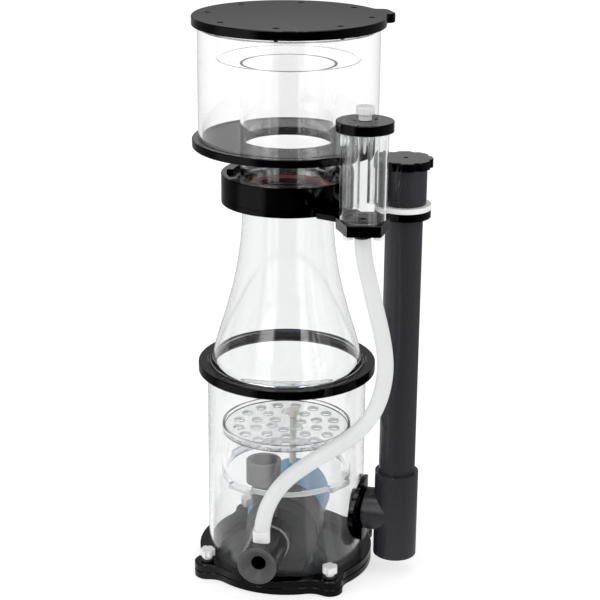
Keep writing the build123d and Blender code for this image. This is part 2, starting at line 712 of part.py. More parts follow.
def pump_feet():
    feet = Part()
    out_x, out_y = polar(1.0, PUMP_ANGLE)
    for s in (-50.0, 50.0):
        for side in (-22.0, 22.0):
            feet += disc(7.0, BASE_TOP, FEET_TOP, s * out_x - side * out_y, s * out_y + side * out_x)
    return feet


def cable_gland():
    """Gland through the tube wall behind the pump, with a domed nut outside."""
    gland = revolved([
        (3.2, 80.0), (8.5, 80.0), (8.5, 83.0), (6.0, 83.0), (6.0, 87.6), (9.0, 87.6), (9.0, 91.0),
        (7.5, 91.0), (7.5, 97.0), (5.0, 99.0), (3.2, 99.0),
    ])
    return cable_hole_frame().location * gland


# ---------------------------------------------------------------- bubble plate
def bubble_plate():
    """Disc with three rings of holes; the inner ring leaves one out where the post stands."""
    plate = disc(PLATE_R, PLATE_BOTTOM, PLATE_TOP) + ring(PLATE_R, PLATE_R - 3, PLATE_BOTTOM, PLATE_TOP + 3)
    for radius, count, phase, kept in ((54.0, 16, 11.25, 16), (35.5, 10, 18.0, 10), (17.0, 6, 139.0, 5)):
        for i in range(kept):
            x, y = polar(radius, phase + 360.0 * i / count)
            plate -= disc(PLATE_HOLE_R, PLATE_BOTTOM - 1, PLATE_TOP + 1, x, y)
    return plate - disc(POST_R + 0.2, PLATE_BOTTOM - 1, PLATE_TOP + 1, POST_X, POST_Y)


def diffuser_skirt():
    """Clear tube under the plate with a thicker ring and four tabs at its lower edge."""
    inner = PLATE_R - 3.4
    skirt = ring(PLATE_R - 0.4, inner, SKIRT_BOTTOM, PLATE_BOTTOM)
    skirt += ring(PLATE_R + 0.6, inner, SKIRT_BOTTOM, SKIRT_RING_TOP)
    for angle in (-130.0, -40.0, 50.0, 140.0):
        tab = Pos(71.5, 0, SKIRT_BOTTOM) * Box(13, 30, SKIRT_RING_TOP - SKIRT_BOTTOM, align=UPRIGHT)
        skirt += Rot(0, 0, angle) * tab
    return skirt - disc(inner, SKIRT_BOTTOM - 1, PLATE_BOTTOM + 1)


def plate_post():
    """Threaded rod from the motor's boss up through the plate, in a sleeve that carries the plate."""
    post = disc(POST_R, ROD_BOTTOM, 174.0, POST_X, POST_Y)
    return post + disc(3.7, BOSS_TOP, PLATE_BOTTOM, POST_X, POST_Y)


def thumb_nut():
    bottom = PLATE_TOP + 0.3
    nut = disc(4.5, bottom, bottom + 3)
    head = scalloped(7.3, 6, 2.2, bottom + 3, bottom + 9)
    nut += chamfer(head.edges().group_by(Axis.Z)[-1], 0.5)
    return Pos(POST_X, POST_Y, 0) * (nut - disc(POST_R + 0.08, bottom - 1, bottom + 12))


# ---------------------------------------------------------------- air hose
def hose_radii():
    """Largest tangent arc at each corner: 0.45 of the shorter run over the tangent of half the turn."""
    points = [Vector(*p) for p in HOSE_ROUTE]
    radii = []
    for before, corner, after in zip(points, points[1:], points[2:]):
        run = min((corner - before).length, (after - corner).length)
        turn = (corner - before).get_angle(after - corner)
        radii.append(0.45 * run / tan(radians(turn / 2)))
    return radii


def air_hose():
    radii = hose_radii()
    path = FilletPolyline(*HOSE_ROUTE, radius=radii)
    start = Plane(origin=path @ 0, z_dir=path % 0)
    hose = sweep(start * Circle(HOSE_R), path)
    print("hose arc radii", [round(r) for r in radii])
    straight_volume = pi * HOSE_R**2 * path.length
    print("hose length", round(path.length, 1), "volume ratio", round(hose.volume / straight_volume, 4))
    return hose


# ---------------------------------------------------------------- all nodes
def nodes():
    table = {
        "base_plate": base_plate, "base_gasket": base_gasket, "body_flange": body_flange,
        "thumb_screw_washers": thumb_screw_washers, "body_tube": body_tube, "join_ring": join_ring,
        "reaction_cone": cone, "collar_bracket": collar_bracket, "neck_collar": neck_collar,
        "silencer_base": silencer_base, "silencer_screws": silencer_screws, "silencer_barb": silencer_barb,
        "silencer_tube": silencer_tube, "silencer_cap": silencer_cap,
        "silencer_wide_tube": silencer_wide_tube, "silencer_narrow_tube": silencer_narrow_tube,
        "air_screw": air_screw, "air_hose": air_hose, "hose_cuff": hose_cuff,
        "venturi_nozzle": venturi_nozzle, "intake_seal": intake_seal, "pump_volute": pump_volute,
        "volute_cover": volute_cover, "pump_outlet_pipe": pump_outlet_pipe,
        "outlet_diffuser": outlet_diffuser, "motor_housing": motor_housing, "stator_block": stator_block,
        "pump_bushings": pump_bushings, "impeller_shaft": impeller_shaft, "rotor_magnet": rotor_magnet,
        "needle_wheel": needle_wheel, "pump_stand": pump_stand, "pump_feet": pump_feet,
        "cable_gland": cable_gland, "bubble_plate": bubble_plate, "diffuser_skirt": diffuser_skirt,
        "plate_post": plate_post, "thumb_nut": thumb_nut, "outlet_gasket": outlet_gasket,
        "outlet_saddle": outlet_saddle, "branch_pipe": branch_pipe, "outlet_tee": outlet_tee,
        "standpipe": standpipe, "standpipe_ring": standpipe_ring, "glide_washer": glide_washer,
        "level_sleeve": level_sleeve, "level_knob": level_knob, "wedge_pipe": wedge_pipe,
        "neck_o_ring": neck_o_ring, "riser_neck": riser_neck, "neck_lug_ring": neck_lug_ring,
        "cup_base_plate": cup_base_plate, "cup_wall": cup_wall, "lid": lid,
        "lid_splash_ring": lid_splash_ring, "lid_screws": lid_screw_shapes,
    }
    shapes = {}
    for name, make in table.items():
        shapes[name] = make()
    for i, angle in enumerate(LOBE_ANGLES):
        shapes[f"thumb_screw_{i + 1}"] = thumb_screw(angle)
    return shapes


os.makedirs("parts", exist_ok=True)
for name, shape in nodes().items():
    export_step(shape, f"parts/{name}.step")
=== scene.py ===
"""Looks of the protein skimmer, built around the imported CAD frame.

Units are metres, and millimetres in names that end in _MM. The body's axis is the Z axis, and
the photograph looks from the -Y side.
"""
import json
import math

import bmesh
import bpy
from mathutils import Matrix, Vector

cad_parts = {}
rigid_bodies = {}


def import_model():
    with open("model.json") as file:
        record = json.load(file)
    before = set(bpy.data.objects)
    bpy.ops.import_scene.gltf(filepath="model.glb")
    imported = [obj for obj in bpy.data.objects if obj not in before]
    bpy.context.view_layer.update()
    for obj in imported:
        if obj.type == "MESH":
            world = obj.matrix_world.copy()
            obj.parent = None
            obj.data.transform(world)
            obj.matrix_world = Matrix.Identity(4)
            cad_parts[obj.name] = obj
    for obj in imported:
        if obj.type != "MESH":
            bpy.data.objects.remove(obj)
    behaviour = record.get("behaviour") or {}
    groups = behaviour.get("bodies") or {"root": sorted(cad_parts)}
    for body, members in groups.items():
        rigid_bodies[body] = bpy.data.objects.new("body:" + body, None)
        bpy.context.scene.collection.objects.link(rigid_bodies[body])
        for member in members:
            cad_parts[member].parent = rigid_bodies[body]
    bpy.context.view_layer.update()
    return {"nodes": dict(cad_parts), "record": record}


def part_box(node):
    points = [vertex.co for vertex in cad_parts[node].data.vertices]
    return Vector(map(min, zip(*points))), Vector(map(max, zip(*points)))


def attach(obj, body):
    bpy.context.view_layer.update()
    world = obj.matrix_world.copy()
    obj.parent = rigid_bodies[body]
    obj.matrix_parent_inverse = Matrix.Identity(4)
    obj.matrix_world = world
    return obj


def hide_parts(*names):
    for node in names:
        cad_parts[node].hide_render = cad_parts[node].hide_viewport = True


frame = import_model()
NODES = frame["nodes"]
SLOTS = {part["node"]: part["material_slot"] for part in frame["record"]["subparts"]}
BODY_OF = {
    member: body
    for body, members in frame["record"]["behaviour"]["bodies"].items()
    for member in members
}
MM = 0.001
# A face looks along a direction when its normal's part in that direction is more than this
FACING = 0.5


# ---------------------------------------------------------------- places read from the frame
def centre_of(node_name):
    low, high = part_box(node_name)
    return (low + high) / 2


def size_of(node_name):
    low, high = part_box(node_name)
    return high - low


def angle_of(node_name):
    """Direction of a node's middle from the body axis, in radians."""
    middle = centre_of(node_name)
    return math.atan2(middle.y, middle.x)


def towards(angle, height, distance):
    """Point at a height and a distance from the body axis, in the direction of an angle."""
    return Vector((distance * math.cos(angle), distance * math.sin(angle), height))


# ---------------------------------------------------------------- camera
PHOTO_SIDE = 600.0
FOCAL_PIXELS = 1660.7
SENSOR_MM = 36.0
CLIP_NEAR = 0.1
CLIP_FAR = 50.0
CAMERA_PLACE = (0.0139, -1.7187, 0.894)
CAMERA_DOWN_DEGREES = 18.79
CAMERA_ROLL_DEGREES = 0.51


def make_camera():
    data = bpy.data.cameras.new("camera")
    data.sensor_width = SENSOR_MM
    data.lens = FOCAL_PIXELS / PHOTO_SIDE * SENSOR_MM
    data.clip_start = CLIP_NEAR
    data.clip_end = CLIP_FAR
    camera = bpy.data.objects.new("camera", data)
    bpy.context.scene.collection.objects.link(camera)
    camera.matrix_world = (
        Matrix.Translation(CAMERA_PLACE)
        @ Matrix.Rotation(math.radians(90.0 - CAMERA_DOWN_DEGREES), 4, "X")
        @ Matrix.Rotation(math.radians(CAMERA_ROLL_DEGREES), 4, "Z")
    )
    bpy.context.scene.camera = camera


# ---------------------------------------------------------------- node tree helpers
def new_material(name):
    """Material with an empty node tree, and that tree."""
    material = bpy.data.materials.new(name)
    material.use_nodes = True
    material.node_tree.nodes.clear()
    return material, material.node_tree


def node(tree, kind, **settings):
    """New node with its inputs and properties set by name."""
    made = tree.nodes.new(kind)
    for key, value in settings.items():
        if key in made.inputs:
            made.inputs[key].default_value = value
        else:
            setattr(made, key, value)
    return made


def link(tree, source, output, target, socket):
    """Joins two sockets, each given by its name or its number."""
    tree.links.new(source.outputs[output], target.inputs[socket])


def noise(tree, scale, detail, roughness, stretch=(1, 1, 1)):
    """Noise in the object's own coordinates, which are the CAD's."""
    coords = node(tree, "ShaderNodeTexCoord")
    mapping = node(tree, "ShaderNodeMapping", Scale=stretch)
    link(tree, coords, "Object", mapping, "Vector")
    made = node(tree, "ShaderNodeTexNoise", Scale=scale, Detail=detail, Roughness=roughness)
    link(tree, mapping, "Vector", made, "Vector")
    return made


def ramp(tree, source, output, span, levels):
    """Maps the two ends of a value's span to two levels, clamped."""
    made = node(tree, "ShaderNodeMapRange")
    made.inputs["From Min"].default_value, made.inputs["From Max"].default_value = span
    made.inputs["To Min"].default_value, made.inputs["To Max"].default_value = levels
    link(tree, source, output, made, "Value")
    return made


def maths(tree, operation, *terms, **settings):
    """Math node whose terms are numbers or (node, output) pairs."""
    made = node(tree, "ShaderNodeMath", operation=operation, **settings)
    for i, term in enumerate(terms):
        if isinstance(term, tuple):
            link(tree, *term, made, i)
        else:
            made.inputs[i].default_value = term
    return made


def mix_shaders(tree, factor, output, first, second):
    """The first shader where the factor is 0, the second where it is 1."""
    made = node(tree, "ShaderNodeMixShader")
    link(tree, factor, output, made, 0)
    link(tree, first, 0, made, 1)
    link(tree, second, 0, made, 2)
    return made


def finish_surface(tree, shader):
    out = node(tree, "ShaderNodeOutputMaterial")
    link(tree, shader, 0, out, "Surface")


# ---------------------------------------------------------------- materials
SOFT_EDGE = 0.00022
GRAIN_HEIGHT = 0.0002
BEVEL_SAMPLES = 4
ACRYLIC_IOR = 1.48
LAMP_LIGHT_THROUGH = 0.97


def solid(
    name, colour, tint, roughness, wear, grain, bump, stretch=(1, 1, 1), edge=0.0, **shader_inputs
):
    """Opaque plastic: two close colours, uneven gloss, fine grain and softened edges.

    Roughness varies by wear, grain is the noise scale of the bump, and edge is a bevel radius.
    """
    material, tree = new_material(name)
    shader = node(tree, "ShaderNodeBsdfPrincipled", **shader_inputs)
    cloud = noise(tree, scale=35.0, detail=4.0, roughness=0.6, stretch=stretch)
    amount = ramp(tree, cloud, "Fac", (0.3, 0.7), (0.0, 1.0))
    colours = node(tree, "ShaderNodeMix", data_type="RGBA")
    colours.inputs["A"].default_value = (*colour, 1.0)
    colours.inputs["B"].default_value = (*tint, 1.0)
    link(tree, amount, "Result", colours, "Factor")
    link(tree, colours, "Result", shader, "Base Color")
    patches = noise(tree, scale=90.0, detail=5.0, roughness=0.7, stretch=stretch)
    gloss = ramp(tree, patches, "Fac", (0.35, 0.75), (roughness, roughness + wear))
    link(tree, gloss, "Result", shader, "Roughness")
    grains = noise(tree, scale=grain, detail=2.0, roughness=0.5, stretch=stretch)
    raised = node(tree, "ShaderNodeBump", Strength=bump, Distance=GRAIN_HEIGHT)
    link(tree, grains, "Fac", raised, "Height")
    if edge:
        rounding = node(tree, "ShaderNodeBevel", Radius=edge, samples=BEVEL_SAMPLES)
        link(tree, rounding, "Normal", raised, "Normal")
    link(tree, raised, "Normal", shader, "Normal")
    finish_surface(tree, shader)
    return material


def clear(name, tint, haze, haze_colour):
    """Clear acrylic that bends and mirrors light, lets lamps through, and has a faint haze."""
    material, tree = new_material(name)
    glass = node(tree, "ShaderNodeBsdfGlass", IOR=ACRYLIC_IOR, Roughness=0.0, Color=(*tint, 1.0))
    scatter = node(tree, "ShaderNodeBsdfDiffuse", Color=(*haze_colour, 1.0))
    cloud = noise(tree, scale=18.0, detail=4.0, roughness=0.6, stretch=(1.0, 1.0, 0.35))
    amount = ramp(tree, cloud, "Fac", (0.3, 0.75), (haze * 0.6, haze * 1.4))
    body = mix_shaders(tree, amount, "Result", glass, scatter)
    rays = node(tree, "ShaderNodeLightPath")
    through = node(tree, "ShaderNodeBsdfTransparent", Color=(*[LAMP_LIGHT_THROUGH] * 3, 1.0))
    finish_surface(tree, mix_shaders(tree, rays, "Is Shadow Ray", body, through))
    return material


# The record's opaque slots, and variants of them for single pieces
SOLIDS = {
    "black_acrylic": {
        "colour": (0.0030, 0.0030, 0.0032), "tint": (0.0045, 0.0045, 0.0048),
        "roughness": 0.04, "wear": 0.05, "grain": 500.0, "bump": 0.02, "edge": SOFT_EDGE,
        "Specular IOR Level": 0.32,
    },
    "dark_pvc": {
        "colour": (0.028, 0.028, 0.033), "tint": (0.036, 0.036, 0.042),
        "roughness": 0.24, "wear": 0.12, "grain": 420.0, "bump": 0.10, "edge": SOFT_EDGE,
        "stretch": (1, 1, 0.05),
    },
    "charcoal_plastic": {
        "colour": (0.034, 0.034, 0.035), "tint": (0.046, 0.046, 0.047),
        "roughness": 0.32, "wear": 0.15, "grain": 900.0, "bump": 0.2, "edge": SOFT_EDGE,
    },
    "charcoal_gloss": {
        "colour": (0.024, 0.024, 0.025), "tint": (0.032, 0.032, 0.033),
        "roughness": 0.20, "wear": 0.12, "grain": 500.0, "bump": 0.12, "edge": SOFT_EDGE,
    },
    "charcoal_pale": {
        "colour": (0.15, 0.15, 0.152), "tint": (0.18, 0.18, 0.182),
        "roughness": 0.45, "wear": 0.15, "grain": 900.0, "bump": 0.2, "edge": SOFT_EDGE,
    },
    # Painted light: a paler charcoal that stands in for the light on the nozzle's outward faces
    "charcoal_painted_pale_face": {
        "colour": (0.075, 0.075, 0.076), "tint": (0.095, 0.095, 0.096),
        "roughness": 0.38, "wear": 0.15, "grain": 900.0, "bump": 0.2, "edge": SOFT_EDGE,
    },
    "white_nylon": {
        "colour": (0.88, 0.88, 0.875), "tint": (0.83, 0.83, 0.82),
        "roughness": 0.34, "wear": 0.1, "grain": 700.0, "bump": 0.08, "edge": SOFT_EDGE,
    },
    "milky_silicone": {
        "colour": (0.72, 0.73, 0.73), "tint": (0.77, 0.78, 0.78),
        "roughness": 0.30, "wear": 0.12, "grain": 600.0, "bump": 0.04,
        "stretch": (1, 1, 0.3), "Sheen Weight": 0.15, "Sheen Roughness": 0.4,
    },
    "red_silicone": {
        "colour": (0.34, 0.030, 0.028), "tint": (0.40, 0.045, 0.04),
        "roughness": 0.4, "wear": 0.1, "grain": 700.0, "bump": 0.1,
    },
    "blue_plastic": {
        "colour": (0.17, 0.37, 0.60), "tint": (0.21, 0.42, 0.64),
        "roughness": 0.38, "wear": 0.12, "grain": 900.0, "bump": 0.15, "edge": SOFT_EDGE,
    },
    "ivory_nylon": {
        "colour": (0.74, 0.73, 0.64), "tint": (0.79, 0.78, 0.70),
        "roughness": 0.4, "wear": 0.1, "grain": 700.0, "bump": 0.1, "edge": SOFT_EDGE,
    },
    "black_rubber": {
        "colour": (0.012, 0.012, 0.012), "tint": (0.02, 0.02, 0.02),
        "roughness": 0.6, "wear": 0.15, "grain": 900.0, "bump": 0.2,
    },
    "black_dull": {
        "colour": (0.0020, 0.0020, 0.0020), "tint": (0.0030, 0.0030, 0.0030),
        "roughness": 0.60, "wear": 0.10, "grain": 900.0, "bump": 0.1,
        "Specular IOR Level": 0.03,
    },
    "ceramic": {
        "colour": (0.80, 0.79, 0.75), "tint": (0.74, 0.73, 0.70),
        "roughness": 0.22, "wear": 0.08, "grain": 900.0, "bump": 0.05,
    },
    "magnet": {
        "colour": (0.03, 0.03, 0.033), "tint": (0.05, 0.05, 0.055),
        "roughness": 0.3, "wear": 0.2, "grain": 800.0, "bump": 0.1,
    },
    "stator_iron": {
        "colour": (0.12, 0.10, 0.08), "tint": (0.2, 0.17, 0.14),
        "roughness": 0.5, "wear": 0.2, "grain": 500.0, "bump": 0.3, "stretch": (1, 1, 4),
    },
}
# The record's clear slot, and variants of it: tint, share of haze, colour of the haze
CLEARS = {
    "clear_acrylic": ((1.0, 1.0, 1.0), 0.002, (0.9, 0.9, 0.9)),
    "clear_tinted": ((0.965, 0.967, 0.967), 0.004, (0.75, 0.75, 0.75)),
    "clear_body": ((0.975, 0.977, 0.977), 0.020, (0.75, 0.75, 0.75)),
    "clear_cut_edge": ((0.93, 0.94, 0.94), 0.30, (0.62, 0.63, 0.63)),
    "clear_frosted": ((0.98, 0.985, 0.985), 0.55, (0.90, 0.91, 0.91)),
}
# Nodes that look different from the rest of their slot
VARIANTS = {
    "venturi_nozzle": "charcoal_gloss",
    "silencer_barb": "charcoal_gloss",
    "outlet_diffuser": "charcoal_pale",
    "intake_seal": "clear_cut_edge",
    "lid_screws": "black_dull",
}
CREASE_DEGREES = 32.0


def make_materials():
    made = {name: solid(name, **look) for name, look in SOLIDS.items()}
    made.update({name: clear(name, *look) for name, look in CLEARS.items()})
    return made


def smooth(obj):
    """Smooth shading with creases at sharp edges."""
    mesh = obj.data
    mesh.polygons.foreach_set("use_smooth", [True] * len(mesh.polygons))
    mesh.set_sharp_from_angle(angle=math.radians(CREASE_DEGREES))


def dress_nodes(materials):
    """Gives every CAD node its material."""
    for name, obj in NODES.items():
        obj.data.materials.clear()
        obj.data.materials.append(materials[VARIANTS.get(name, SLOTS[name])])
        smooth(obj)


# ---------------------------------------------------------------- air hose
HOSE_POINTS_MM = [
    (76.6, -110.3, 414.0),
    (77.6, -110.4, 396.0),
    (82.2, -110.8, 376.0),
    (89.5, -111.6, 346.0),
    (98.7, -112.6, 310.5),
    (103.6, -113.4, 278.5),
    (101.2, -114.0, 251.5),
    (94.2, -114.4, 228.5),
    (83.2, -114.7, 210.5),
    (66.4, -114.9, 194.5),
    (45.0, -115.1, 179.7),
    (23.3, -115.4, 165.6),
    (4.5, -115.8, 150.8),
    (-8.7, -116.2, 135.7),
    (-17.9, -116.7, 119.0),
    (-23.4, -117.1, 101.0),
    (-25.2, -117.3, 84.0),
]
HOSE_DIAMETER = 0.0172
HOSE_BEVEL_STEPS = 10
HOSE_CURVE_STEPS = 16


def make_hose(materials):
    """The air hose as a smooth cord, from the silencer's barb to the cuff on the nozzle."""
    route = [tuple(value * MM for value in point) for point in HOSE_POINTS_MM]
    data = bpy.data.curves.new("air_hose_curve", "CURVE")
    data.dimensions = "3D"
    data.bevel_depth = HOSE_DIAMETER / 2
    data.bevel_resolution = HOSE_BEVEL_STEPS
    data.resolution_u = HOSE_CURVE_STEPS
    data.use_fill_caps = True
    spline = data.splines.new("NURBS")
    spline.points.add(len(route) - 1)
    for point, place in zip(spline.points, route):
        point.co = (*place, 1.0)
    spline.order_u = 3
    spline.use_endpoint_u = True
    hose = bpy.data.objects.new("air_hose_tube", data)
    bpy.context.scene.collection.objects.link(hose)
    data.materials.append(materials["milky_silicone"])
    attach(hose, "skimmer_body")
    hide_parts("air_hose")


# ---------------------------------------------------------------- clear pieces, turned finely
ROUND_STEPS = 256
RIM_RADIUS = 0.0003
RIM_STEPS = 3
# Where the shading of a flat side ends, as a multiple of the rim radius from the corner
RIM_GUARD = 1.25


def rounded(corners):
    """Closed outline of (radius, height) corners with each corner turned into a small arc.

    A point close to each end of an arc keeps the shading of the long flat sides straight.
    """
    outline = []
    for i, corner in enumerate(corners):
        here = Vector(corner)
        back = (Vector(corners[i - 1]) - here).normalized()
        ahead = (Vector(corners[(i + 1) % len(corners)]) - here).normalized()
        start = here + back * RIM_RADIUS
        end = here + ahead * RIM_RADIUS
        outline.append(tuple(here + back * RIM_RADIUS * RIM_GUARD))
        for k in range(RIM_STEPS + 1):
            t = k / RIM_STEPS
            outline.append(tuple(start * (1 - t) ** 2 + here * 2 * t * (1 - t) + end * t**2))
        outline.append(tuple(here + ahead * RIM_RADIUS * RIM_GUARD))
    return outline


def turned_mesh(name, outline, centre=(0.0, 0.0)):
    """Mesh of a closed outline turned about an upright axis."""
    shape = bmesh.new()
    rings = []
    for i in range(ROUND_STEPS):
        angle = 2 * math.pi * i / ROUND_STEPS
        x, y = math.cos(angle), math.sin(angle)
        rings.append(
            [shape.verts.new((centre[0] + r * x, centre[1] + r * y, z)) for r, z in outline]
        )
    for i, here in enumerate(rings):
        after = rings[(i + 1) % ROUND_STEPS]
        for k in range(len(outline)):
            n = (k + 1) % len(outline)
            shape.faces.new((here[k], after[k], after[n], here[n]))
    bmesh.ops.recalc_face_normals(shape, faces=shape.faces)
    mesh = bpy.data.meshes.new(name)
    shape.to_mesh(mesh)
    shape.free()
    return mesh


def new_piece(name, mesh, stands_for, slot_materials):
    """Puts a mesh in the scene in place of a CAD node, riding on that node's body."""
    piece = bpy.data.objects.new(name, mesh)
    bpy.context.scene.collection.objects.link(piece)
    for material in slot_materials:
        mesh.materials.append(material)
    smooth(piece)
    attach(piece, BODY_OF[stands_for])
    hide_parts(stands_for)


def mark_faces(mesh, wanted):
    """Gives the faces that pass a test the second material."""
    for face in mesh.polygons:
        if wanted(face):
            face.material_index = 1


def tube_corners(node_name, wall):
    """Outline of a plain upright tube that fills a node's box."""
    low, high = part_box(node_name)
    outer = (high.x - low.x) / 2
    return [(outer - wall, low.z), (outer, low.z), (outer, high.z), (outer - wall, high.z)]


# Node, wall thickness, material
PLAIN_TUBES = [
    ("cup_wall", 0.004, "clear_acrylic"),
    ("riser_neck", 0.0032, "clear_acrylic"),
    ("silencer_tube", 0.0025, "clear_tinted"),
    ("silencer_wide_tube", 0.0015, "clear_tinted"),
    ("silencer_narrow_tube", 0.0016, "clear_tinted"),
]


def make_plain_tubes(materials):
    """Tubes whose cut ends are duller than their sides."""
    for name, wall, material in PLAIN_TUBES:
        middle = centre_of(name)
        outline = rounded(tube_corners(name, wall))
        mesh = turned_mesh(name + "_clear", outline, (middle.x, middle.y))
        mark_faces(mesh, lambda face: abs(face.normal.z) > FACING)
        new_piece(name + "_clear", mesh, name, [materials[material], materials["clear_cut_edge"]])


SPLASH_RADIUS = 0.076
SPLASH_WALL = 0.003
SPLASH_FLANGE = 0.004
SPLASH_RIM_ZONE = 0.002


def make_splash_ring(materials):
    """The short tube under the lid, with the flange that holds it."""
    low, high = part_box("lid_splash_ring")
    flange = (high.x - low.x) / 2
    inner = SPLASH_RADIUS - SPLASH_WALL
    under = high.z - SPLASH_FLANGE
    corners = [
        (inner, low.z), (SPLASH_RADIUS, low.z), (SPLASH_RADIUS, under),
        (flange, under), (flange, high.z), (inner, high.z),
    ]
    mesh = turned_mesh("splash_ring_clear", rounded(corners))
    rim = low.z + SPLASH_RIM_ZONE
    mark_faces(mesh, lambda face: face.normal.z < -FACING and face.center.z < rim)
    looks = [materials["clear_acrylic"], materials["clear_cut_edge"]]
    new_piece("splash_ring_clear", mesh, "lid_splash_ring", looks)


# (radius, height) points of the cone's outside: the flare above its foot, and its side
CONE_FLARE_MM = [(87.1, 241.0), (85.3, 242.0), (84.2, 243.0), (82.95, 245.0), (82.1, 247.3)]
CONE_SIDE_MM = [
    (81.4, 250.0), (75.9, 270.0), (67.1, 299.0), (58.6, 331.0), (52.5, 365.0), (49.5, 396.0),
    (49.0, 422.0),
]
# The inside of the foot
CONE_HEEL_MM = [(80.2, 240.3), (79.6, 243.6), (79.1, 246.8)]
CONE_FOOT_TOP_MM = 240.6
CONE_FOOT_WIDTH_MM = 8.0
CONE_WALL_MM = 3.0
CONE_FOOT_SLOPE = -0.26
CONE_TOP_SLOPE = 0.0
CONE_STEPS = 6


def smooth_side(points, first_slope, last_slope):
    """Smooth curve radius(height) through (radius, height) points, as a list of points."""
    slopes = [first_slope]
    for before, here, after in zip(points, points[1:], points[2:]):
        lower_run = here[1] - before[1]
        upper_run = after[1] - here[1]
        lower = (here[0] - before[0]) / lower_run
        upper = (after[0] - here[0]) / upper_run
        slopes.append((lower * upper_run + upper * lower_run) / (lower_run + upper_run))
    slopes.append(last_slope)
    curve = []
    for i in range(len(points) - 1):
        (r0, z0), (r1, z1) = points[i], points[i + 1]
        run = z1 - z0
        for k in range(CONE_STEPS):
            t = k / CONE_STEPS
            r = (
                (2 * t**3 - 3 * t**2 + 1) * r0 + (t**3 - 2 * t**2 + t) * run * slopes[i]
                + (3 * t**2 - 2 * t**3) * r1 + (t**3 - t**2) * run * slopes[i + 1]
            )
            curve.append((r, z0 + run * t))
    curve.append(points[-1])
    return curve


def make_cone(materials):
    """The reaction cone: foot, flare and side outside, the same side and the heel inside."""
    low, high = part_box("reaction_cone")
    foot = (high.x - low.x) / 2 / MM
    bottom = low.z / MM
    top = high.z / MM
    side = smooth_side(CONE_SIDE_MM, CONE_FOOT_SLOPE, CONE_TOP_SLOPE)
    inner = [(r - CONE_WALL_MM, z) for r, z in side]
    outline = [(foot, bottom), (foot, CONE_FOOT_TOP_MM)] + CONE_FLARE_MM + side
    outline += [(side[-1][0], top), (inner[-1][0], top)]
    outline += inner[::-1] + CONE_HEEL_MM[::-1] + [(foot - CONE_FOOT_WIDTH_MM, bottom)]
    mesh = turned_mesh("cone_clear", [(r * MM, z * MM) for r, z in outline])
    new_piece("cone_clear", mesh, "reaction_cone", [materials["clear_tinted"]])


HOLE_SEGMENTS = 96
# Where a hole's cutter starts and ends, as shares of the tube's radius
CUTTER_START = 0.6
CUTTER_END = 1.3


def cut_holes(mesh, outer, holes):
    """Cuts round holes through an upright tube: each hole is (angle, height, radius)."""
    scene_objects = bpy.context.scene.collection.objects
    body = bpy.data.objects.new("hole_work", mesh)
    scene_objects.link(body)
    cutters = []
    for angle, height, radius in holes:
        start = towards(angle, height, outer * CUTTER_START)
        end = towards(angle, height, outer * CUTTER_END)
        axis = end - start
        turn = axis.to_track_quat("Z", "Y").to_matrix().to_4x4()
        shape = bmesh.new()
        bmesh.ops.create_cone(
            shape, cap_ends=True, segments=HOLE_SEGMENTS, radius1=radius, radius2=radius,
            depth=axis.length, matrix=Matrix.Translation((start + end) / 2) @ turn,
        )
        cutter_mesh = bpy.data.meshes.new("hole_cutter")
        shape.to_mesh(cutter_mesh)
        shape.free()
        cutter = bpy.data.objects.new("hole_cutter", cutter_mesh)
        scene_objects.link(cutter)
        cutters.append(cutter)
        cut = body.modifiers.new("cut", "BOOLEAN")
        cut.object = cutter
        cut.solver = "EXACT"
    graph = bpy.context.evaluated_depsgraph_get()
    result = bpy.data.meshes.new_from_object(body.evaluated_get(graph))
    for item in [body] + cutters:
        bpy.data.objects.remove(item)
    return result


BODY_WALL = 0.004
NOZZLE_CLEARANCE = 0.0008
GLAND_HOLE_RADIUS = 0.006


def make_body_tube(materials):
    """The body tube, with holes for the nozzle, the outlet branch and the cable gland."""
    outer = size_of("body_tube").x / 2
    mesh = turned_mesh("body_tube_whole", rounded(tube_corners("body_tube", BODY_WALL)))
    nozzle_radius = size_of("venturi_nozzle").z / 2 + NOZZLE_CLEARANCE
    branch_radius = size_of("branch_pipe").z / 2
    cut = cut_holes(mesh, outer, [
        (angle_of("venturi_nozzle"), centre_of("venturi_nozzle").z, nozzle_radius),
        (angle_of("outlet_saddle"), centre_of("branch_pipe").z, branch_radius),
        (angle_of("cable_gland"), centre_of("cable_gland").z, GLAND_HOLE_RADIUS),
    ])
    new_piece("body_tube_clear", cut, "body_tube", [materials["clear_body"]])


# ---------------------------------------------------------------- CAD nodes with two finishes, and the nozzle face's painted light
PLATE_RIM = 0.004
SKIRT_RING_HEIGHT = 0.0062


def dress_nozzle_face(materials):
    """The nozzle's front face and the cone of its mouth are duller than its turned side, and
    painted paler as painted light where they face outwards.
    """
    mesh = NODES["venturi_nozzle"].data
    mesh.materials.append(materials["charcoal_painted_pale_face"])
    out = towards(angle_of("venturi_nozzle"), 0.0, 1.0)
    # Faces that look outwards get the paler charcoal, which is painted light
    mark_faces(mesh, lambda face: face.normal.dot(out) > FACING)


def dress_plate_and_skirt(materials):
    """The walls of the plate's holes and the outsides of the skirt's ring and tabs are sawn."""
    plate = NODES["bubble_plate"].data
    plate.materials.append(materials["clear_frosted"])
    reach = size_of("bubble_plate").x / 2 - PLATE_RIM
    mark_faces(
        plate,
        lambda face: abs(face.normal.z) < FACING
        and math.hypot(face.center.x, face.center.y) < reach,
    )
    skirt = NODES["diffuser_skirt"].data
    skirt.materials.append(materials["clear_frosted"])
    ring_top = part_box("diffuser_skirt")[0].z + SKIRT_RING_HEIGHT
    mark_faces(skirt, lambda face: abs(face.normal.z) < FACING and face.center.z < ring_top)


# ---------------------------------------------------------------- floor, world and lights
# Brightness of the mirrored studio by direction: degrees from the front, left negative
ROOM_PANELS = [
    (-180, 0.38), (-130, 0.14), (-98, 0.12), (-84, 0.45), (-46, 0.56), (-34, 0.08), (26, 0.05),
    (58, 0.12), (80, 0.18), (130, 0.16), (180, 0.38),
]
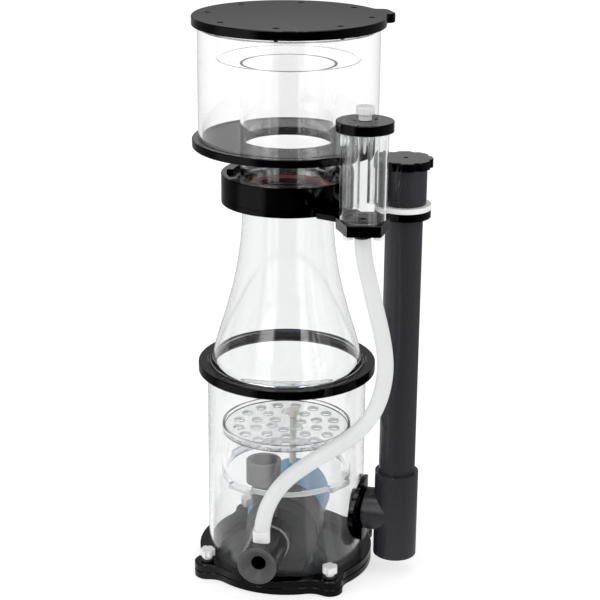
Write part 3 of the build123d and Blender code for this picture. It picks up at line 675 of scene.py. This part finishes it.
# The same for light that has also gone through clear acrylic
GLASS_PANELS = [
    (-180, 1.05), (-110, 1.05), (-52, 0.80), (-46, 1.5), (-26, 1.5), (-21, 0.07), (24, 0.05),
    (27, 1.3), (37, 1.3), (40, 0.25), (46, 0.30), (49, 1.1), (58, 1.1), (62, 0.45), (80, 0.85),
    (110, 1.05), (180, 1.05),
]
# The same above the horizon, where three tall lamps stand in front
LAMP_PANELS = [
    (-180, 0.38), (-130, 0.14), (-98, 0.12), (-84, 0.45), (-52, 0.50), (-46, 2.4), (-26, 2.4),
    (-21, 0.08), (24, 0.08), (27, 2.2), (37, 2.2), (40, 0.25), (46, 0.25), (49, 2.0), (58, 2.0),
    (62, 0.20), (80, 0.25), (130, 0.18), (180, 0.38),
]
# Its brightness by height, as the sine of the angle above the horizon, and straight overhead
ROOM_HEIGHTS = [
    (0.0, 0.50), (0.150, 0.58), (0.215, 1.75), (0.260, 1.70), (0.350, 0.95), (1.0, 0.95),
]
OVERHEAD_SPAN = (0.80, 0.97)
OVERHEAD_LEVEL = 1.6
# Backdrop for sight lines, and for the light that falls on dull surfaces
BACKDROP_SEEN = 1.0
BACKDROP_SHADE = 0.78
FLOOR_SIZE = 12.0
FLOOR_PAINT = (0.62, 0.62, 0.62, 1.0)
FLOOR_GLOW = (0.58, 0.58, 0.58, 1.0)
# The mirrored floor is brighter near the body: distances from its axis, and what is added there
FLOOR_NEAR_SPAN = (0.12, 0.40)
FLOOR_NEAR_LEVEL = 0.30


def mirror_rays(tree):
    """1 for light that a surface has mirrored, 0 for sight lines and for shade."""
    rays = node(tree, "ShaderNodeLightPath")
    return maths(
        tree, "SUBTRACT", (rays, "Glossy Depth"), (rays, "Is Diffuse Ray"), use_clamp=True
    )


def graded(tree, place, output, table):
    """Grey level from a table of places from 0 to 1 and levels."""
    made = node(tree, "ShaderNodeValToRGB")
    stops = made.color_ramp.elements
    while len(stops) < len(table):
        stops.new(0.5)
    for stop, (position, level) in zip(stops, table):
        stop.position = position
        stop.color = (level, level, level, 1.0)
    link(tree, place, output, made, "Fac")
    return made


def compass(tree, source, output):
    """Direction of a vector round the body axis, from 0 to 1, and the vector's parts."""
    parts = node(tree, "ShaderNodeSeparateXYZ")
    link(tree, source, output, parts, "Vector")
    front = maths(tree, "MULTIPLY", (parts, "Y"), -1.0)
    turn = maths(tree, "ARCTAN2", (parts, "X"), (front, "Value"))
    return ramp(tree, turn, "Value", (-math.pi, math.pi), (0.0, 1.0)), parts


def panels(tree, place, table):
    """Brightness in a compass direction, from a table of degrees and levels."""
    places = [(degrees / 360.0 + 0.5, level) for degrees, level in table]
    return graded(tree, place, "Result", places)


def make_floor():
    """White floor with a little glow of its own, so that only the closest shade shows on it."""
    bpy.ops.mesh.primitive_plane_add(size=FLOOR_SIZE, location=(0.0, 0.0, 0.0))
    floor = bpy.context.object
    floor.name = "studio_floor"
    material, tree = new_material("floor_white")
    geometry = node(tree, "ShaderNodeNewGeometry")
    place = compass(tree, geometry, "Position")[0]
    rays = node(tree, "ShaderNodeLightPath")
    level = node(tree, "ShaderNodeMix", data_type="FLOAT")
    link(tree, rays, "Transmission Depth", level, "Factor")
    link(tree, panels(tree, place, ROOM_PANELS), "Color", level, "A")
    link(tree, panels(tree, place, GLASS_PANELS), "Color", level, "B")
    distance = node(tree, "ShaderNodeVectorMath", operation="LENGTH")
    link(tree, geometry, "Position", distance, "Vector")
    near = ramp(tree, distance, "Value", FLOOR_NEAR_SPAN, (FLOOR_NEAR_LEVEL, 0.0))
    lit = maths(tree, "ADD", (level, "Result"), (near, "Result"))
    sheen = node(tree, "ShaderNodeEmission", Color=(1, 1, 1, 1))
    link(tree, lit, "Value", sheen, "Strength")
    seen = node(tree, "ShaderNodeAddShader")
    link(tree, node(tree, "ShaderNodeBsdfDiffuse", Color=FLOOR_PAINT), 0, seen, 0)
    link(tree, node(tree, "ShaderNodeEmission", Color=FLOOR_GLOW, Strength=1.0), 0, seen, 1)
    finish_surface(tree, mix_shaders(tree, mirror_rays(tree), "Value", seen, sheen))
    floor.data.materials.append(material)


def make_world():
    """White backdrop for sight lines; what surfaces mirror is a studio that is dark in front."""
    world = bpy.data.worlds.new("studio")
    bpy.context.scene.world = world
    world.use_nodes = True
    tree = world.node_tree
    tree.nodes.clear()
    coords = node(tree, "ShaderNodeTexCoord")
    place, parts = compass(tree, coords, "Generated")
    round_about = panels(tree, place, LAMP_PANELS)
    height = graded(tree, parts, "Z", ROOM_HEIGHTS)
    overhead = ramp(tree, parts, "Z", OVERHEAD_SPAN, (0.0, OVERHEAD_LEVEL))
    lit = maths(
        tree, "MULTIPLY_ADD", (round_about, "Color"), (height, "Color"), (overhead, "Result")
    )
    mirrored = node(tree, "ShaderNodeBackground", Color=(1, 1, 1, 1))
    link(tree, lit, "Value", mirrored, "Strength")
    rays = node(tree, "ShaderNodeLightPath")
    seen = ramp(tree, rays, "Is Diffuse Ray", (0.0, 1.0), (BACKDROP_SEEN, BACKDROP_SHADE))
    backdrop = node(tree, "ShaderNodeBackground", Color=(1, 1, 1, 1))
    link(tree, seen, "Result", backdrop, "Strength")
    both = mix_shaders(tree, mirror_rays(tree), "Value", backdrop, mirrored)
    out = node(tree, "ShaderNodeOutputWorld")
    link(tree, both, 0, out, "Surface")


# Place, width and height, and power of each soft lamp, and the point that they face
LAMPS = {
    "key_left": ((-1.6, -1.2, 1.5), (1.0, 1.2), 9.0),
    "fill_right": ((1.7, -0.7, 0.9), (0.8, 1.2), 4.0),
}
LAMP_TARGET = Vector((0.0, 0.0, 0.3))


def make_lights():
    """Lamps that shade the parts but aren't mirrored, because the world has its own panels."""
    for name, (place, size, power) in LAMPS.items():
        data = bpy.data.lights.new(name, "AREA")
        data.shape = "RECTANGLE"
        data.size, data.size_y = size
        data.energy = power
        light = bpy.data.objects.new(name, data)
        bpy.context.scene.collection.objects.link(light)
        light.location = place
        facing = (LAMP_TARGET - Vector(place)).to_track_quat("-Z", "Y")
        light.rotation_euler = facing.to_euler()
        light.visible_glossy = False


BLACK_LEVEL = 0.005
WHITE_LEVEL = 0.985


def set_up_view():
    """Plain colours with a little contrast, and enough bounces for nested clear walls."""
    scene = bpy.context.scene
    view = scene.view_settings
    view.view_transform = "Standard"
    view.use_curve_mapping = True
    view.curve_mapping.black_level = (BLACK_LEVEL, BLACK_LEVEL, BLACK_LEVEL)
    view.curve_mapping.white_level = (WHITE_LEVEL, WHITE_LEVEL, WHITE_LEVEL)
    view.curve_mapping.update()
    scene.cycles.max_bounces = 40
    scene.cycles.transmission_bounces = 36
    scene.cycles.glossy_bounces = 12
    scene.cycles.transparent_max_bounces = 48


# ---------------------------------------------------------------- build
make_camera()
materials = make_materials()
make_hose(materials)
make_floor()
make_world()
make_lights()
set_up_view()
dress_nodes(materials)
make_plain_tubes(materials)
make_splash_ring(materials)
make_cone(materials)
make_body_tube(materials)
dress_plate_and_skirt(materials)
dress_nozzle_face(materials)
